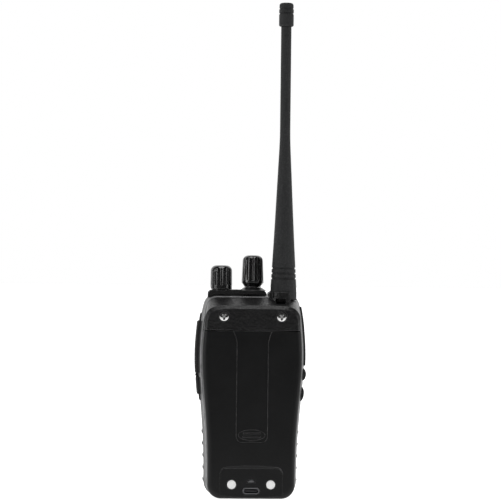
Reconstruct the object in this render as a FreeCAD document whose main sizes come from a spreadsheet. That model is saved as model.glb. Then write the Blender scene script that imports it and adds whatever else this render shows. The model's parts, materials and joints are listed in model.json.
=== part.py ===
"""Handheld two way radio: parametric model, millimetres, +Z up.

The radio stands upright. Its origin is the middle of its underside, its front (speaker) faces -Y
and its back (battery) faces +Y. Every sub-part is an object of one document, sized by the sheet.
"""
import FreeCAD, Part
import math
import os
import re

import Sketcher

V = FreeCAD.Vector
doc = FreeCAD.newDocument("two_way_radio")

# ---------------------------------------------------------------------------- driving dimensions
DIMENSIONS = {
    # heights of the six stations of the side outline, and half the width at each of them
    "side_z1": 7.5, "side_z2": 32.0, "side_z3": 56.0, "side_z4": 78.0, "side_z5": 92.0, "side_z6": 106.0,
    "case_w1": 25.6, "case_w2": 26.2, "case_w3": 28.15, "case_w4": 29.4, "case_w5": 28.55, "case_w6": 26.3,
    "back_w1": 24.0, "back_w2": 24.45, "back_w3": 26.2, "back_w4": 27.4, "back_w5": 26.6, "back_w6": 24.4,
    "top_lean": 16.0,
    # front case
    "case_top": 111.2, "case_front": -16.5, "split_y": 3.0, "side_flat_y": -1.8, "side_slope": 1.5,
    "lip_round": 0.35,
    "front_round": 4.0, "wall": 2.4, "front_wall": 1.8,
    # back: battery and hood
    "back_top": 109.3, "battery_top": 91.5, "hood_bottom": 91.8, "battery_front": 3.2, "back_y": 16.5,
    "back_crown_r": 240.0, "back_round": 3.2, "battery_wall": 1.6,
    "roof_y": 14.0, "seat_y": 15.7,
    # antenna
    "antenna_x": -17.3, "antenna_base": 108.4, "seat_floor": 108.2, "seat_d": 15.2, "collar_d": 16.9,
    "collar_top": 112.4, "post_d": 6.35, "ferrule_bore": 6.5, "sleeve_d": 14.6, "mid_d": 11.8,
    "neck_d": 8.75, "thin_d": 6.85, "whip_d": 5.7, "mid_z": 136.5, "neck_z": 166.0, "thin_z": 185.2,
    "whip_z": 202.0, "sleeve_top": 258.9, "cap_bottom": 259.1, "cap_top": 271.9, "cap_d": 8.1,
    # top controls
    "trim_low_x": -8.0, "trim_high_x": 24.3, "trim_top": 113.4, "trim_front": -12.6, "trim_back": -1.0,
    "volume_x": 16.85, "channel_x": -0.5, "knob_y": -5.5, "shaft_d": 3.4, "bushing_bore": 3.5,
    "bushing_d": 5.8, "ring_nut_d": 7.6, "volume_d": 12.1, "channel_d": 12.2, "volume_top": 126.9,
    "channel_top": 132.6,
    "torch_x": -11.4, "torch_y": -9.9, "torch_d": 5.2,
    # side controls
    "control_front": -11.0, "control_back": -1.6, "ptt_low": 71.8, "ptt_high": 104.4, "ptt_proud": 0.8,
    "flap_proud": 1.85, "key_gap": 0.25, "hinge_z": 66.1,
    "hinge_proud": 1.4, "flap_low": 67.2, "flap_high": 96.2,
    "jack_y": -6.2, "mic_jack_z": 76.3, "speaker_jack_z": 87.8, "mic_jack_d": 3.6, "speaker_jack_d": 2.6,
    # inside
    "pcb_front": -3.0, "pcb_back": -1.4, "speaker_z": 82.0, "speaker_d": 36.0, "mic_z": 50.0,
    "plate_front": 0.0,
    # belt clip screws, charge panel, port
    "clip_screw_x": 15.7, "clip_screw_z": 99.3, "clip_head_d": 5.5, "contact_x": 10.65, "contact_z": 7.9,
    "contact_d": 4.8, "usb_z": 4.4, "usb_w": 8.94, "usb_t": 3.16, "panel_w": 36.8, "panel_top": 18.3,
    "panel_depth": 0.8, "panel_slope": 64.0, "channel_w": 17.0, "channel_depth": 0.6, "channel_end": 35.0,
    "pad_z": 34.9,
    # battery lugs and latch
    "lug_x": 20.0, "lug_length": 8.0, "battery_travel": 12.0, "latch_travel": 2.0,
}

sheet = doc.addObject("Spreadsheet::Sheet", "dims")
for row, (alias, value) in enumerate(DIMENSIONS.items(), start=1):
    sheet.set("A%d" % row, alias)
    sheet.set("B%d" % row, str(value))
    sheet.setAlias("B%d" % row, alias)
doc.recompute()


def cells(text):
    """Turn 'case_top - wall' into an expression on the sheet's cells."""
    def cell(match):
        word = match.group()
        return "dims." + word if word in DIMENSIONS else word
    return re.sub(r"[a-z_][a-z0-9_]*", cell, str(text))


def size(text):
    """The present value, in mm, of a number or of an expression on the sheet."""
    return float(sheet.evalExpression(cells(text)))


# ---------------------------------------------------------------------------- side outline
CASE = ["case_w%d" % station for station in range(1, 7)]
BACK = ["back_w%d" % station for station in range(1, 7)]
STATIONS = ["side_z%d" % station for station in range(1, 7)]


def side_curve(widths, inset, side=1, ends_in=0):
    """Spline up one side of the radio, moved in by inset; it starts upright and ends leaning in.

    Its lowest station is raised by ends_in and its highest one lowered by as much.
    """
    lean = math.radians(size("top_lean"))
    heights = [size(station) for station in STATIONS]
    heights[0] += ends_in
    heights[-1] -= ends_in
    points = [V(side * (size(width) - inset), height, 0) for width, height in zip(widths, heights)]
    curve = Part.BSplineCurve()
    start = V(0, 1, 0) * 24
    end = V(-side * math.sin(lean), math.cos(lean), 0) * 14
    curve.interpolate(Points=points, InitialTangent=start, FinalTangent=end)
    return curve


def side_at(widths, height):
    """Half the width of the outline at one height."""
    curve = side_curve(widths, 0)
    low, high = curve.FirstParameter, curve.LastParameter
    for _ in range(40):
        middle = (low + high) / 2
        if curve.value(middle).y < height:
            low = middle
        else:
            high = middle
    return curve.value(low).x


def corner_arc(start, tangent_angle, top):
    """Arc from a leaning side to a level top edge, tangent to both."""
    side = 1 if start.x > 0 else -1
    radius = (top - start.y) / (1 - math.sin(tangent_angle))
    centre = V(start.x - side * radius * math.cos(tangent_angle), top - radius, 0)
    halfway = (tangent_angle + math.pi / 2) / 2
    middle = centre + V(side * math.cos(halfway), math.sin(halfway), 0) * radius
    return Part.Arc(start, middle, V(centre.x, top, 0))


def outline_edges(widths, top, inset, ends_in=0):
    """Closed outline of the radio seen from the front, moved in by inset."""
    lean = math.radians(size("top_lean"))
    right = side_curve(widths, inset, 1, ends_in)
    left = side_curve(widths, inset, -1, ends_in)
    high = size(top) - inset
    corner_right = corner_arc(right.value(right.LastParameter), lean, high)
    corner_left = corner_arc(left.value(left.LastParameter), lean, high)
    foot = right.value(right.FirstParameter)
    radius = foot.y - inset
    half = foot.x - radius
    diagonal = radius * (1 - math.sqrt(0.5))
    bottom_right = Part.Arc(V(half, inset, 0), V(foot.x - diagonal, inset + diagonal, 0), foot)
    left_foot = V(-foot.x, foot.y, 0)
    bottom_left = Part.Arc(left_foot, V(diagonal - foot.x, inset + diagonal, 0), V(-half, inset, 0))
    top_line = Part.LineSegment(corner_right.EndPoint, corner_left.EndPoint)
    bottom_line = Part.LineSegment(V(-half, inset, 0), V(half, inset, 0))
    return [bottom_line, bottom_right, right, corner_right, top_line, corner_left, left, bottom_left]


# ---------------------------------------------------------------------------- modelling helpers
PARTS = {}


def keep(item, label):
    """Name an object after the sub-part that it is and put it on the list to write."""
    item.Label = label
    PARTS[label] = item
    return item


def place(item, x=0, y=0, z=0):
    """Bind the place of an object to the sheet."""
    for axis, value in zip("xyz", (x, y, z)):
        item.setExpression("Placement.Base." + axis, cells(value))


def block(name, x, y, z):
    """Box between two expressions on each axis."""
    item = doc.addObject("Part::Box", name)
    for prop, (low, high) in zip(("Length", "Width", "Height"), (x, y, z)):
        item.setExpression(prop, cells("(%s) - (%s)" % (high, low)))
    place(item, x[0], y[0], z[0])
    return item


AXES = {"x": FreeCAD.Rotation(V(0, 1, 0), 90), "y": FreeCAD.Rotation(V(1, 0, 0), -90),
        "z": FreeCAD.Rotation()}


def rod(name, diameter, span, axis, across):
    """Cylinder along one axis, from span[0] to span[1]; across gives its two other coordinates."""
    item = doc.addObject("Part::Cylinder", name)
    item.setExpression("Radius", cells("(%s) / 2" % diameter))
    item.setExpression("Height", cells("(%s) - (%s)" % (span[1], span[0])))
    item.Placement = FreeCAD.Placement(V(), AXES[axis])
    coordinates = list(across)
    coordinates.insert("xyz".index(axis), span[0])
    place(item, *coordinates)
    return item


def cone(name, low_d, high_d, span, axis, across):
    """Cone frustum along one axis."""
    item = doc.addObject("Part::Cone", name)
    item.setExpression("Radius1", cells("(%s) / 2" % low_d))
    item.setExpression("Radius2", cells("(%s) / 2" % high_d))
    item.setExpression("Height", cells("(%s) - (%s)" % (span[1], span[0])))
    item.Placement = FreeCAD.Placement(V(), AXES[axis])
    coordinates = list(across)
    coordinates.insert("xyz".index(axis), span[0])
    place(item, *coordinates)
    return item


def ball(name, diameter, x, y, z):
    item = doc.addObject("Part::Sphere", name)
    item.setExpression("Radius", cells("(%s) / 2" % diameter))
    place(item, x, y, z)
    return item


def fuse(name, *items):
    if len(items) == 1:
        return items[0]
    item = doc.addObject("Part::MultiFuse", name)
    item.Shapes = list(items)
    return item


def cut(name, base, *tools):
    item = doc.addObject("Part::Cut", name)
    item.Base = base
    item.Tool = fuse(name + "_tools", *tools)
    return item


def common(name, *items):
    item = doc.addObject("Part::MultiCommon", name)
    item.Shapes = list(items)
    return item


def rounded(name, base, radius, choose):
    """Round the edges that choose(edge) picks."""
    doc.recompute()
    item = doc.addObject("Part::Fillet", name)
    item.Base = base
    amount = size(radius)
    item.Edges = [(number, amount, amount)
                  for number, edge in enumerate(base.Shape.Edges, start=1) if choose(edge)]
    return item


def lies_at(axis, value, tolerance=0.02):
    """Choose edges that lie wholly at one coordinate."""
    def choose(edge):
        points = edge.discretize(5)
        return all(abs(getattr(point, axis) - value) < tolerance for point in points)
    return choose


def new_body(name):
    return doc.addObject("PartDesign::Body", name)


def origin_plane(owner, role):
    return [item for item in owner.Origin.OriginFeatures if item.Role == role][0]


def sketch(owner, name, plane, offset, edges):
    """Sketch of given edges on one of the body's own planes, moved along its normal.

    On XZ_Plane the sketch's axes are X and Z and its normal is -Y; on XY_Plane they are X and Y.
    """
    item = owner.newObject("Sketcher::SketchObject", name)
    item.AttachmentSupport = [(origin_plane(owner, plane), "")]
    item.MapMode = "FlatFace"
    item.setExpression(".AttachmentOffset.Base.z", cells(offset))
    for edge in edges:
        item.addGeometry(edge)
    return item


def polygon(owner, name, plane, offset, points):
    """Sketch of a closed polygon whose corners are bound to the sheet."""
    corners = [V(size(x), size(y), 0) for x, y in points]
    count = len(corners)
    lines = [Part.LineSegment(corners[i], corners[(i + 1) % count]) for i in range(count)]
    item = sketch(owner, name, plane, offset, lines)
    for i in range(count):
        item.addConstraint(Sketcher.Constraint("Coincident", i, 2, (i + 1) % count, 1))
    for i, expressions in enumerate(points):
        for kind, letter, text in zip(("DistanceX", "DistanceY"), "xy", expressions):
            number = item.addConstraint(Sketcher.Constraint(kind, -1, 1, i, 1, size(text)))
            corner = "%s%d" % (letter, i)
            item.renameConstraint(number, corner)
            item.setExpression("Constraints." + corner, cells(text))
    return item


def pad(owner, profile, length):
    item = owner.newObject("PartDesign::Pad", profile.Name + "_pad")
    item.Profile = profile
    item.setExpression("Length", cells(length))
    return item


def turned(owner, profile):
    """Revolve a sketch on XZ_Plane once round the body's upright axis."""
    item = owner.newObject("PartDesign::Revolution", profile.Name + "_turn")
    item.Profile = profile
    item.ReferenceAxis = (profile, ["V_Axis"])
    item.Angle = 360
    return item


def dress(owner, kind, name, base, choose, **sizes):
    """Fillet or Chamfer of the edges that choose(edge) picks on the newest feature."""
    doc.recompute()
    item = owner.newObject("PartDesign::" + kind, name)
    names = ["Edge%d" % number
             for number, edge in enumerate(base.Shape.Edges, start=1) if choose(edge)]
    item.Base = (base, names)
    for prop, text in sizes.items():
        item.setExpression(prop, cells(text))
    return item


# ---------------------------------------------------------------------------- outer forms
def case_form():
    """The front half's outer skin as a solid: barrel sides that slope in towards the parting."""
    owner = new_body("case_form")
    face = sketch(owner, "case_outline", "XZ_Plane", "-split_y", outline_edges(CASE, "case_top", 0))
    solid = pad(owner, face, "split_y - case_front")
    slope = dress(owner, "Chamfer", "case_slope", solid, lies_at("y", size("split_y")))
    slope.ChamferType = "Two distances"
    slope.setExpression("Size", cells("split_y - side_flat_y"))
    slope.setExpression("Size2", cells("side_slope"))
    doc.recompute()
    whole_width = slope.Shape.BoundBox.XLength
    parting = [face for face in slope.Shape.Faces
               if abs(face.CenterOfMass.y - size("split_y")) < 0.01][0]
    if parting.BoundBox.XLength < whole_width - 2 * size("side_slope") - 1:
        slope.FlipDirection = True
    lip = dress(owner, "Fillet", "case_lip_round", slope, lies_at("y", size("split_y")), Radius="lip_round")
    dress(owner, "Fillet", "case_front_round", lip, lies_at("y", size("case_front")), Radius="front_round")
    return owner


def case_space():
    """The hollow of the front case."""
    owner = new_body("case_space")
    edges = outline_edges(CASE, "case_top", size("wall"))
    face = sketch(owner, "space_outline", "XZ_Plane", "-(split_y + 0.5)", edges)
    pad(owner, face, "split_y + 0.5 - case_front - front_wall")
    return owner


def side_band(name, side, z_low, z_high, inner, outer, y_low, y_high, edge_round=0):
    """Slab that follows the curve of one side, from inner to outer millimetres proud of it."""
    owner = new_body(name)
    low, high = size(z_low), size(z_high)
    curves = []
    for proud in (inner, outer):
        points = []
        for step in range(5):
            height = low + (high - low) * step / 4
            points.append(V(side * (side_at(CASE, height) + proud), height, 0))
        curve = Part.BSplineCurve()
        curve.interpolate(points)
        curves.append(curve)
    ends = [(curve.value(curve.FirstParameter), curve.value(curve.LastParameter)) for curve in curves]
    edges = [curves[0], Part.LineSegment(ends[0][1], ends[1][1]), curves[1],
             Part.LineSegment(ends[1][0], ends[0][0])]
    face = sketch(owner, name + "_face", "XZ_Plane", "-(%s)" % y_high, edges)
    solid = pad(owner, face, "(%s) - (%s)" % (y_high, y_low))
    if edge_round:
        def outer_edge(edge):
            points = edge.discretize(5)
            return all(abs(abs(point.x) - side_at(CASE, point.z) - outer) < 0.05 for point in points)
        dress(owner, "Fillet", name + "_round", solid, outer_edge, Radius=edge_round)
    return owner


def back_form():
    """The back half's outer skin as a solid: a crowned back with rounded edges."""
    owner = new_body("back_form")
    face = sketch(owner, "back_outline", "XZ_Plane", "-(back_y + 2)", outline_edges(BACK, "back_top", 0))
    pad(owner, face, "back_y + 2 - battery_front")
    crown = rod("back_crown", "2 * back_crown_r", (-5, 130), "z", ("0", "back_y - back_crown_r"))
    crowned = common("back_crowned", owner, crown)

    def back_edge(edge):
        reach = size("back_crown_r")
        centre = size("back_y") - reach
        points = edge.discretize(7)
        return all(abs(math.hypot(point.x, point.y - centre) - reach) < 0.02 for point in points)
    return rounded("back_rounded", crowned, "back_round", back_edge)


def hood_section(owner, y, foot, shoulder, shoulder_z, top_x, top_z):
    """One outline of the hood: upright sides, a swept corner and a level top."""
    def corner(side):
        curve = Part.BSplineCurve()
        start = V(side * size(shoulder), size(shoulder_z), 0)
        end = V(side * size(top_x), size(top_z), 0)
        reach = (end - start).Length * 1.15
        curve.interpolate(Points=[start, end], InitialTangent=V(0, reach, 0),
                          FinalTangent=V(-side * reach, 0, 0))
        return curve
    bottom = size("hood_bottom")
    right, left = corner(1), corner(-1)
    ends = [right.value(right.FirstParameter), right.value(right.LastParameter),
            left.value(left.LastParameter), left.value(left.FirstParameter)]
    feet = [V(-size(foot), bottom, 0), V(size(foot), bottom, 0)]
    edges = [Part.LineSegment(feet[0], feet[1]), Part.LineSegment(feet[1], ends[0]), right,
             Part.LineSegment(ends[1], ends[2]), left, Part.LineSegment(ends[3], feet[0])]
    return sketch(owner, "hood_at_" + y.split("_")[0], "XZ_Plane", "-(%s)" % y, edges)


def hood_form():
    """Upper back of the chassis: a sloping roof, a bright bevel and the flat belt clip seat."""
    owner = new_body("hood_form")
    first = hood_section(owner, "split_y", "back_w5", "24.9", "103.6", "18.6", "back_top")
    roof = hood_section(owner, "roof_y", "26.3", "26.0", "97.4", "13.0", "105.3")
    seat = hood_section(owner, "seat_y", "25.0", "24.7", "95.8", "12.0", "103.4")
    loft = owner.newObject("PartDesign::AdditiveLoft", "hood_loft")
    loft.Profile = first
    loft.Sections = [roof, seat]
    loft.Ruled = True
    return owner


# ---------------------------------------------------------------------------- front half
def seat_cutters(name):
    """The round pocket in which the antenna stands, with the bore for its threaded post."""
    axis = ("antenna_x", "0")
    return [rod(name + "_seat", "seat_d", ("seat_floor", "150"), "z", axis),
            rod(name + "_bore", "post_d + 0.25", ("100", "150"), "z", axis)]


def seat_collar(name, y):
    """Low wall round the antenna, open on the outer side."""
    ring = rod(name + "_ring", "collar_d", ("seat_floor - 2", "collar_top"), "z", ("antenna_x", "0"))
    window = block(name + "_window", ("antenna_x - 3.6", "antenna_x + 10"), y, ("104", "120"))
    return common(name, ring, window)


def front_groove():
    """Shallow groove that follows the outline, well inside it, on the front face."""
    bodies = []
    for name, inset in (("groove_outer", 7.0), ("groove_inner", 7.8)):
        owner = new_body(name)
        face = sketch(owner, name + "_face", "XZ_Plane", "-(case_front + 0.45)",
                      outline_edges(CASE, "case_top", inset, inset))
        pad(owner, face, 2)
        bodies.append(owner)
    return cut("front_groove", *bodies)


def front_case(outside):
    speaker_axis = ("0", "speaker_z")
    boss = common("antenna_boss",
                  rod("boss_round", "seat_d + 2", ("103.6", "109.2"), "z", ("antenna_x", "0")),
                  block("boss_limit", ("-22.2", "-8.4"), ("-9", "split_y - 0.2"), ("103", "110")))
    collar = seat_collar("case_collar", ("-10", "split_y"))
    body = fuse("case_with_collar", outside, collar)
    hollow = cut("case_hollow_space", case_space(), boss)
    tools = [hollow] + seat_cutters("case_antenna")
    for number in range(7):
        height = "speaker_z + %g" % ((number - 3) * 4.0)
        reach = math.sqrt(15.5 ** 2 - ((number - 3) * 4.0) ** 2)
        tools.append(block("speaker_slot_%d" % number, (-reach, reach), ("case_front - 1", "-14"),
                           (height + " - 0.8", height + " + 0.8")))
    tools.append(rod("speaker_recess", "35", ("case_front - 2", "case_front + 0.5"), "y", speaker_axis))
    tools.append(rod("mic_hole", "1.4", ("case_front - 2", "-14"), "y", ("0", "mic_z")))
    tools.append(block("name_recess", (-11.2, 11.2), ("case_front - 2", "case_front + 0.4"), (54.8, 60.2)))
    tools.append(front_groove())
    for number in range(4):
        height = 15.0 + 6.5 * number
        tools.append(block("lower_line_%d" % number, (-13, 13), ("case_front - 1", "case_front + 0.5"),
                           (height, height + 0.9)))
    for name, x in (("volume", "volume_x"), ("channel", "channel_x")):
        tools.append(rod(name + "_bushing_hole", "bushing_d + 0.3", ("100", "130"), "z", (x, "knob_y")))
    tools.append(rod("torch_hole", "torch_d + 0.2", ("106", "130"), "z", ("torch_x", "torch_y")))
    tools.append(rod("status_hole", "3.2", ("106", "130"), "z", ("8.5", "torch_y")))
    control_y = ("control_front - key_gap", "control_back + key_gap")
    for name, low, high in (("ptt", "ptt_low", "ptt_high"), ("upper_key", "63.6", "70.6"),
                            ("lower_key", "52", "60.4")):
        tools.append(side_band(name + "_window", -1, low + " - key_gap", high + " + key_gap", -4.4, 3,
                               *control_y))
    tools.append(side_band("jack_recess", 1, "51.8", "100.8", -0.9, 3, "control_front - 0.2",
                           "control_back + 0.2"))
    tools.append(side_band("jack_window", 1, "70", "94", -5, 0, "jack_y - 4", "jack_y + 4"))
    tools.append(block("latch_window", (-5.4, 5.4), ("-8.2", "-1.9"), ("-1", "wall + 0.5")))
    item = cut("front_case_cut", body, *tools)
    doc.recompute()
    ribs = [item]
    for side in (-1, 1):
        for number in range(5):
            height = 8.4 + 6.62 * number
            x = side * (side_at(CASE, height) - 0.8)
            ribs.append(rod("rib", 2.8, (-11.2, -4.6), "y", (x, height)))
            ribs.append(ball("rib_front", 2.8, x, -11.2, height))
            ribs.append(ball("rib_back", 2.8, x, -4.6, height))
    for x in (-17.5, 17.5):
        boss = rod("case_boss", 5.0, ("case_front + 1", "pcb_front - 0.1"), "y", (x, 12))
        ribs.append(cut("case_screw_boss", boss, rod("boss_bore", 1.7, (-12, 0), "y", (x, 12))))
    keep(fuse("front_case_whole", *ribs), "front_case")


def front_face():
    """Cloth, blank name plate, and the raised panel under the controls."""
    keep(rod("grille_cloth", 33.6, ("case_front + front_wall + 0.02", "case_front + front_wall + 0.22"),
             "y", ("0", "speaker_z")), "grille_cloth")
    owner = new_body("name_plate")
    plate = polygon(owner, "plate_face", "XZ_Plane", "-(case_front + 0.4)",
                    [(-11, 55.6), (-10.4, 55), (10.4, 55), (11, 55.6), (11, 59.4), (10.4, 60),
                     (-10.4, 60), (-11, 59.4)])
    pad(owner, plate, 0.35)
    keep(owner, "name_plate")


def top_trim(outside):
    """Raised panel round the two knobs, with a slightly arched top that ends over the shoulder."""
    owner = new_body("trim_form")
    low, high, top = size("trim_low_x"), size("trim_high_x"), size("trim_top")
    arch = Part.Arc(V(high - 1.2, top - 0.2, 0), V((low + high) / 2, top + 0.15, 0),
                    V(low + 1.2, top - 0.2, 0))
    edges = [Part.LineSegment(V(low, 106, 0), V(high, 106, 0)),
             Part.LineSegment(V(high, 106, 0), V(high, top - 1.5, 0)),
             Part.LineSegment(V(high, top - 1.5, 0), V(high - 1.2, top - 0.2, 0)), arch,
             Part.LineSegment(V(low + 1.2, top - 0.2, 0), V(low, top - 1.5, 0)),
             Part.LineSegment(V(low, top - 1.5, 0), V(low, 106, 0))]
    face = sketch(owner, "trim_face", "XZ_Plane", "-trim_back", edges)
    pad(owner, face, "trim_back - trim_front")
    tools = [outside]
    for name, x in (("volume", "volume_x"), ("channel", "channel_x")):
        tools.append(rod(name + "_trim_hole", "bushing_d + 0.1", ("100", "130"), "z", (x, "knob_y")))
        tools.append(rod(name + "_nut_pocket", "ring_nut_d + 0.4", ("trim_top - 1.6", "130"), "z",
                         (x, "knob_y")))
    tools.append(rod("trim_status", "3.2", ("106", "130"), "z", ("8.5", "torch_y")))
    volume_seat = rod("volume_seat", 10.6, ("112.6", "trim_top + 0.2"), "z", ("volume_x", "knob_y"))
    channel_seat = cone("channel_seat", 15.6, 9.6, ("113.0", "114.85"), "z", ("channel_x", "knob_y"))
    keep(cut("top_trim_cut", fuse("trim_with_seats", owner, volume_seat, channel_seat), *tools), "top_trim")


def top_lights():
    """Torch lens with its lamp, and the light pipe of the status lamp."""
    axis = ("torch_x", "torch_y")
    barrel = rod("torch_barrel", "torch_d", ("107.2", "111.8"), "z", axis)
    dome = ball("torch_dome", "torch_d + 1.6", "torch_x", "torch_y", "109.6")
    ring = rod("torch_limit", "torch_d", ("109.6", "115"), "z", axis)
    keep(fuse("torch_lens_whole", barrel, common("torch_cap", dome, ring)), "torch_lens")
    keep(rod("torch_lamp", 4.2, (102.8, 107.1), "z", axis), "torch_lamp")
    pipe = rod("pipe", 3.0, ("102.8", "trim_top - 1.5"), "z", ("8.5", "torch_y"))
    keep(fuse("pipe_whole", pipe, ball("pipe_cap", 3.0, "8.5", "torch_y", "trim_top - 1.5")),
         "status_light_pipe")


def speaker():
    axis = ("0", "speaker_z")
    front = "case_front + front_wall + 0.25"
    frame = rod("frame_rim", "speaker_d", (front, front + " + 1.2"), "y", axis)
    basket = cone("frame_basket", "speaker_d - 1", 20, (front + " + 1.2", "-9.0"), "y", axis)
    inner = cone("frame_inner", "speaker_d - 3.6", 17, (front + " + 1.2", "-9.6"), "y", axis)
    opening = rod("frame_opening", "speaker_d - 3.2", (front + " - 0.1", front + " + 1.25"), "y", axis)
    keep(cut("speaker_frame_cut", fuse("frame_solid", frame, basket), inner, opening), "speaker_frame")
    outer = cone("cone_outer", "speaker_d - 4", 14, (front + " + 0.6", front + " + 3.6"), "y", axis)
    inside = cone("cone_inside", "speaker_d - 5", 13, (front + " + 0.3", front + " + 3.3"), "y", axis)
    cap = ball("dust_cap", 15, "0", front + " + 9.2", "speaker_z")
    cap_limit = rod("cap_limit", 13, (front + " + 1", front + " + 3.6"), "y", axis)
    keep(fuse("speaker_cone_whole", cut("cone_skin", outer, inside), common("cap", cap, cap_limit)),
         "speaker_cone")
    keep(rod("magnet", 16, ("-8.95", "-6.2"), "y", axis), "speaker_magnet")


def electronics():
    """Circuit board with what is soldered to it."""
    board = block("board", (-20.5, 20.5), ("pcb_front", "pcb_back"), (7, 97))
    holes = [rod("board_hole", 3.2, (-5, 1), "y", (x, 12)) for x in (-17.5, 17.5)]
    holes += [rod("board_post_hole", 2.2, (-5, 1), "y", (x, 62)) for x in (-13, 13)]
    keep(cut("main_board", board, *holes), "main_pcb")
    can = block("can", (-12, 12), ("pcb_front - 2.6", "pcb_front - 0.01"), (22, 44))
    inside = block("can_inside", (-11.7, 11.7), ("pcb_front - 2.3", "pcb_front"), (22.3, 43.7))
    keep(cut("can_cut", can, inside), "shield_can")
    keep(block("processor", (-6, 6), ("pcb_front - 1.2", "pcb_front - 0.01"), (26, 38)), "processor_chip")
    keep(block("power", (7, 14), ("pcb_front - 1.6", "pcb_front - 0.01"), (12, 19)), "power_transistor")
    capsule = rod("capsule", 6.0, ("-13.2", "-11.0"), "y", ("0", "mic_z"))
    keep(capsule, "microphone")
    boot = rod("boot", 8.4, ("-14.6", "-10.4"), "y", ("0", "mic_z"))
    keep(cut("boot_cut", boot, rod("boot_inside", 6.04, ("-13.24", "-10"), "y", ("0", "mic_z")),
             rod("boot_port", 1.6, (-15, -13), "y", ("0", "mic_z"))), "microphone_boot")
    tiles = []
    for height in (88.0, 67.0, 57.0):
        x = side_at(CASE, height) - 6.2
        tiles.append(block("tact", (-x, -18.6), ("-7.4", "pcb_front - 0.01"), (height - 3, height + 3)))
    keep(fuse("tact_row", *tiles), "side_switches")
    keep(side_band("switch_rubber", -1, "52", "98", -5.9, -4.75, "-9.6", "-2.9"), "side_key_rubber")
    jacks = block("jacks", (16.6, 23.2), ("-10.2", "pcb_front - 0.01"), (70.4, 93.6))
    bores = []
    for height, bore in (("mic_jack_z", "mic_jack_d"), ("speaker_jack_z", "speaker_jack_d")):
        bores.append(rod("jack_bore", bore, (17.6, 30), "x", ("jack_y", height)))
    sleeves = [rod("jack_sleeve", "%s + 1.6" % bore, ("22", "25.6"), "x", ("jack_y", height))
               for height, bore in (("mic_jack_z", "mic_jack_d"), ("speaker_jack_z", "speaker_jack_d"))]
    keep(cut("jack_block_cut", fuse("jack_solid", jacks, *sleeves), *bores), "jack_block")


def control(name, x, knob_body, shaft_top):
    """Pot or switch body with its threaded bushing, the slotted ring nut and the turning shaft."""
    axis = (x, "knob_y")
    case = block(name + "_case", (x + " - 4.2", x + " + 4.2"), ("knob_y - 4", "knob_y + 4"),
                 ("101.4", "106.2"))
    bushing = rod(name + "_bushing", "bushing_d", ("106.2", "trim_top + 0.2"), "z", axis)
    bore = rod(name + "_bore", "bushing_bore", ("103.4", "130"), "z", axis)
    keep(cut(name + "_body_cut", fuse(name + "_solid", case, bushing), bore), name)
    shaft = rod(name + "_shaft_rod", "shaft_d", ("103.8", shaft_top), "z", axis)
    flat = block(name + "_flat", (x + " - 3", x + " + 3"), ("knob_y + 1.1", "knob_y + 3"),
                 ("trim_top + 0.8", "130"))
    keep(cut(name + "_shaft_cut", shaft, flat), knob_body + "_shaft")


def ring_nuts():
    nuts = []
    for name, x in (("volume", "volume_x"), ("channel", "channel_x")):
        axis = (x, "knob_y")
        ring = rod(name + "_ring", "ring_nut_d", ("trim_top - 1.6", "trim_top - 0.1"), "z", axis)
        bore = rod(name + "_ring_bore", "bushing_d", ("100", "130"), "z", axis)
        slot = block(name + "_ring_slot", (x + " - 5", x + " + 5"), ("knob_y - 0.5", "knob_y + 0.5"),
                     ("trim_top - 0.7", "130"))
        nuts.append(cut(name + "_nut", ring, bore, slot))
    keep(doc.addObject("Part::Compound", "nut_pair"), "knob_ring_nuts").Links = nuts


def knob(label, x, outer, flute, shaft_top):
    """Fluted knob: outer is its half profile, as (radius, height) corners from the axis up.

    flute gives the radius, distance from the axis, lowest height and lean of each flute.
    """
    owner = new_body(label + "_form")
    half = polygon(owner, label + "_half", "XZ_Plane", 0, outer)
    solid = turned(owner, half)
    doc.recompute()
    top = outer[-2]
    dress(owner, "Fillet", label + "_dome", solid,
          lambda edge: lies_at("z", size(top[1]))(edge) and edge.BoundBox.XLength > 1, Radius=3.2)
    radius, distance, low, lean = flute
    cutter = owner.newObject("PartDesign::SubtractiveCylinder", label + "_flute")
    cutter.Radius = radius
    cutter.Height = 30
    cutter.Placement = FreeCAD.Placement(V(distance, 0, low), FreeCAD.Rotation(V(0, 1, 0), -lean))
    ring = owner.newObject("PartDesign::PolarPattern", label + "_flutes")
    ring.Originals = [cutter]
    ring.Axis = (origin_plane(owner, "Z_Axis"), [""])
    ring.Angle = 360
    ring.Occurrences = 12
    owner.Tip = ring
    place(owner, x, "knob_y", 0)
    axis = (x, "knob_y")
    bore = rod(label + "_bore", "shaft_d", ("100", shaft_top), "z", axis)
    key = block(label + "_key", (x + " - 3", x + " + 3"), ("knob_y + 1.1", "knob_y + 3"),
                ("trim_top + 0.8", "130"))
    skirt = rod(label + "_skirt", 7.0, ("100", "trim_top + 0.9"), "z", axis)
    mark = block(label + "_mark_slot", (x + " - 0.55", x + " + 0.55"), ("knob_y - 6", "knob_y - 2.4"),
                 (top[1] + " - 3.2", top[1] + " + 1"))
    keep(cut(label + "_cut", owner, cut(label + "_shaft_hole", bore, key), skirt, mark), label)
    strip = block(label + "_mark_strip", (x + " - 0.5", x + " + 0.5"), ("knob_y - 5.1", "knob_y - 2.45"),
                  (top[1] + " - 3.1", top[1] + " + 0.1"))
    keep(common(label + "_mark_common", strip, owner), label.replace("knob", "pointer"))


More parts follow.
